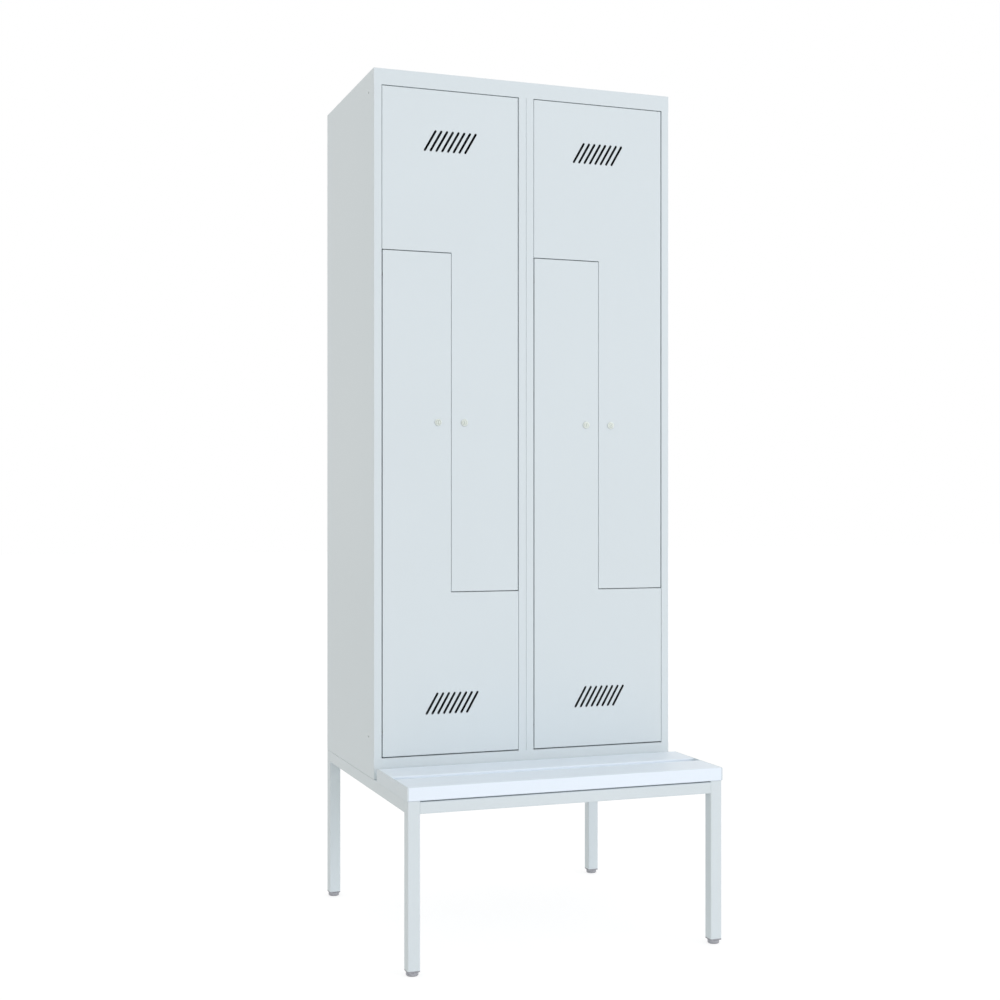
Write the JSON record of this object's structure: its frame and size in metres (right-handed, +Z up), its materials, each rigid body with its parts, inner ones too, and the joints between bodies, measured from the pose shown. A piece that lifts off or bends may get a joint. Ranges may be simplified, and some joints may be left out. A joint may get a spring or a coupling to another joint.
{
  "type": "z locker",
  "caption": "Two-column steel locker with interlocking L-shaped doors over upper and lower compartments, on a tube stand with a slatted bench in front.",
  "frame": {"origin": "on the floor under the centre of the locker's bounding box", "axes": "+Z up, -Y towards the front with the doors and the bench, +X to the right seen from the front"},
  "size_m": [0.804, 0.793, 2.15],
  "materials": {
    "light_grey_powder_coat": "fine satin powder coat",
    "zinc_plated_steel": "bright zinc plating",
    "nickel_plated_zinc": "satin nickel plating",
    "white_plank_plastic": "smooth matt",
    "pale_grey_cap_plastic": "fine matt",
    "grey_foot_plastic": "matt"
  },
  "bodies": {
    "locker": {"left_side_panel": "light_grey_powder_coat", "centre_left_panel": "light_grey_powder_coat", "centre_right_panel": "light_grey_powder_coat", "right_side_panel": "light_grey_powder_coat", "back_panel": "light_grey_powder_coat", "top_panel": "light_grey_powder_coat", "bottom_panel": "light_grey_powder_coat", "left_z_divider": "light_grey_powder_coat", "right_z_divider": "light_grey_powder_coat", "left_lower_door_bottom_hinge": "zinc_plated_steel", "left_lower_door_top_hinge": "zinc_plated_steel", "left_upper_door_bottom_hinge": "zinc_plated_steel", "left_upper_door_top_hinge": "zinc_plated_steel", "right_lower_door_bottom_hinge": "zinc_plated_steel", "right_lower_door_top_hinge": "zinc_plated_steel", "right_upper_door_bottom_hinge": "zinc_plated_steel", "right_upper_door_top_hinge": "zinc_plated_steel", "left_lower_coat_hook": "zinc_plated_steel", "left_upper_coat_hook": "zinc_plated_steel", "right_lower_coat_hook": "zinc_plated_steel", "right_upper_coat_hook": "zinc_plated_steel", "front_left_leg": "light_grey_powder_coat", "front_right_leg": "light_grey_powder_coat", "rear_left_leg": "light_grey_powder_coat", "rear_right_leg": "light_grey_powder_coat", "left_side_rail": "light_grey_powder_coat", "right_side_rail": "light_grey_powder_coat", "front_rail": "light_grey_powder_coat", "middle_rail": "light_grey_powder_coat", "rear_rail": "light_grey_powder_coat", "front_plank": "white_plank_plastic", "rear_plank": "white_plank_plastic", "left_bench_end_cap": "pale_grey_cap_plastic", "right_bench_end_cap": "pale_grey_cap_plastic", "front_left_foot_insert": "grey_foot_plastic", "front_right_foot_insert": "grey_foot_plastic", "rear_left_foot_insert": "grey_foot_plastic", "rear_right_foot_insert": "grey_foot_plastic"},
    "left_lower_door": {"left_lower_door": "light_grey_powder_coat", "left_lower_lock_housing": "nickel_plated_zinc"},
    "left_lower_lock": {"left_lower_lock_plug": "nickel_plated_zinc", "left_lower_lock_cam": "zinc_plated_steel"},
    "left_upper_door": {"left_upper_door": "light_grey_powder_coat", "left_upper_lock_housing": "nickel_plated_zinc"},
    "left_upper_lock": {"left_upper_lock_plug": "nickel_plated_zinc", "left_upper_lock_cam": "zinc_plated_steel"},
    "right_lower_door": {"right_lower_door": "light_grey_powder_coat", "right_lower_lock_housing": "nickel_plated_zinc"},
    "right_lower_lock": {"right_lower_lock_plug": "nickel_plated_zinc", "right_lower_lock_cam": "zinc_plated_steel"},
    "right_upper_door": {"right_upper_door": "light_grey_powder_coat", "right_upper_lock_housing": "nickel_plated_zinc"},
    "right_upper_lock": {"right_upper_lock_plug": "nickel_plated_zinc", "right_upper_lock_cam": "zinc_plated_steel"},
    "front_left_foot": {"front_left_levelling_foot": "zinc_plated_steel"},
    "front_right_foot": {"front_right_levelling_foot": "zinc_plated_steel"},
    "rear_left_foot": {"rear_left_levelling_foot": "zinc_plated_steel"},
    "rear_right_foot": {"rear_right_levelling_foot": "zinc_plated_steel"}
  },
  "joints": [
    {"name": "left_lower_door_swing", "type": "hinge", "parent": "locker", "child": "left_lower_door", "pos_m": [-0.37149, -0.0935, 1.281], "axis": [0, 0, -1], "range_deg": [0, 95]},
    {"name": "left_lower_lock_turn", "type": "hinge", "parent": "left_lower_door", "child": "left_lower_lock", "pos_m": [-0.2345, -0.0985, 1.281], "axis": [0, -1, 0], "range_deg": [0, 90]},
    {"name": "left_upper_door_swing", "type": "hinge", "parent": "locker", "child": "left_upper_door", "pos_m": [-0.02851, -0.0935, 1.281], "axis": [0, 0, 1], "range_deg": [0, 95]},
    {"name": "left_upper_lock_turn", "type": "hinge", "parent": "left_upper_door", "child": "left_upper_lock", "pos_m": [-0.1655, -0.0985, 1.281], "axis": [0, 1, 0], "range_deg": [0, 90]},
    {"name": "right_lower_door_swing", "type": "hinge", "parent": "locker", "child": "right_lower_door", "pos_m": [0.02851, -0.0935, 1.281], "axis": [0, 0, -1], "range_deg": [0, 95]},
    {"name": "right_lower_lock_turn", "type": "hinge", "parent": "right_lower_door", "child": "right_lower_lock", "pos_m": [0.1655, -0.0985, 1.281], "axis": [0, -1, 0], "range_deg": [0, 90]},
    {"name": "right_upper_door_swing", "type": "hinge", "parent": "locker", "child": "right_upper_door", "pos_m": [0.37149, -0.0935, 1.281], "axis": [0, 0, 1], "range_deg": [0, 95]},
    {"name": "right_upper_lock_turn", "type": "hinge", "parent": "right_upper_door", "child": "right_upper_lock", "pos_m": [0.2345, -0.0985, 1.281], "axis": [0, 1, 0], "range_deg": [0, 90]},
    {"name": "front_left_foot_turn", "type": "hinge", "parent": "locker", "child": "front_left_foot", "pos_m": [-0.385, -0.3795, 0], "axis": [0, 0, 1], "continuous": true},
    {"name": "front_right_foot_turn", "type": "hinge", "parent": "locker", "child": "front_right_foot", "pos_m": [0.385, -0.3795, 0], "axis": [0, 0, 1], "continuous": true},
    {"name": "rear_left_foot_turn", "type": "hinge", "parent": "locker", "child": "rear_left_foot", "pos_m": [-0.385, 0.3815, 0], "axis": [0, 0, 1], "continuous": true},
    {"name": "rear_right_foot_turn", "type": "hinge", "parent": "locker", "child": "rear_right_foot", "pos_m": [0.385, 0.3815, 0], "axis": [0, 0, 1], "continuous": true}
  ]
}
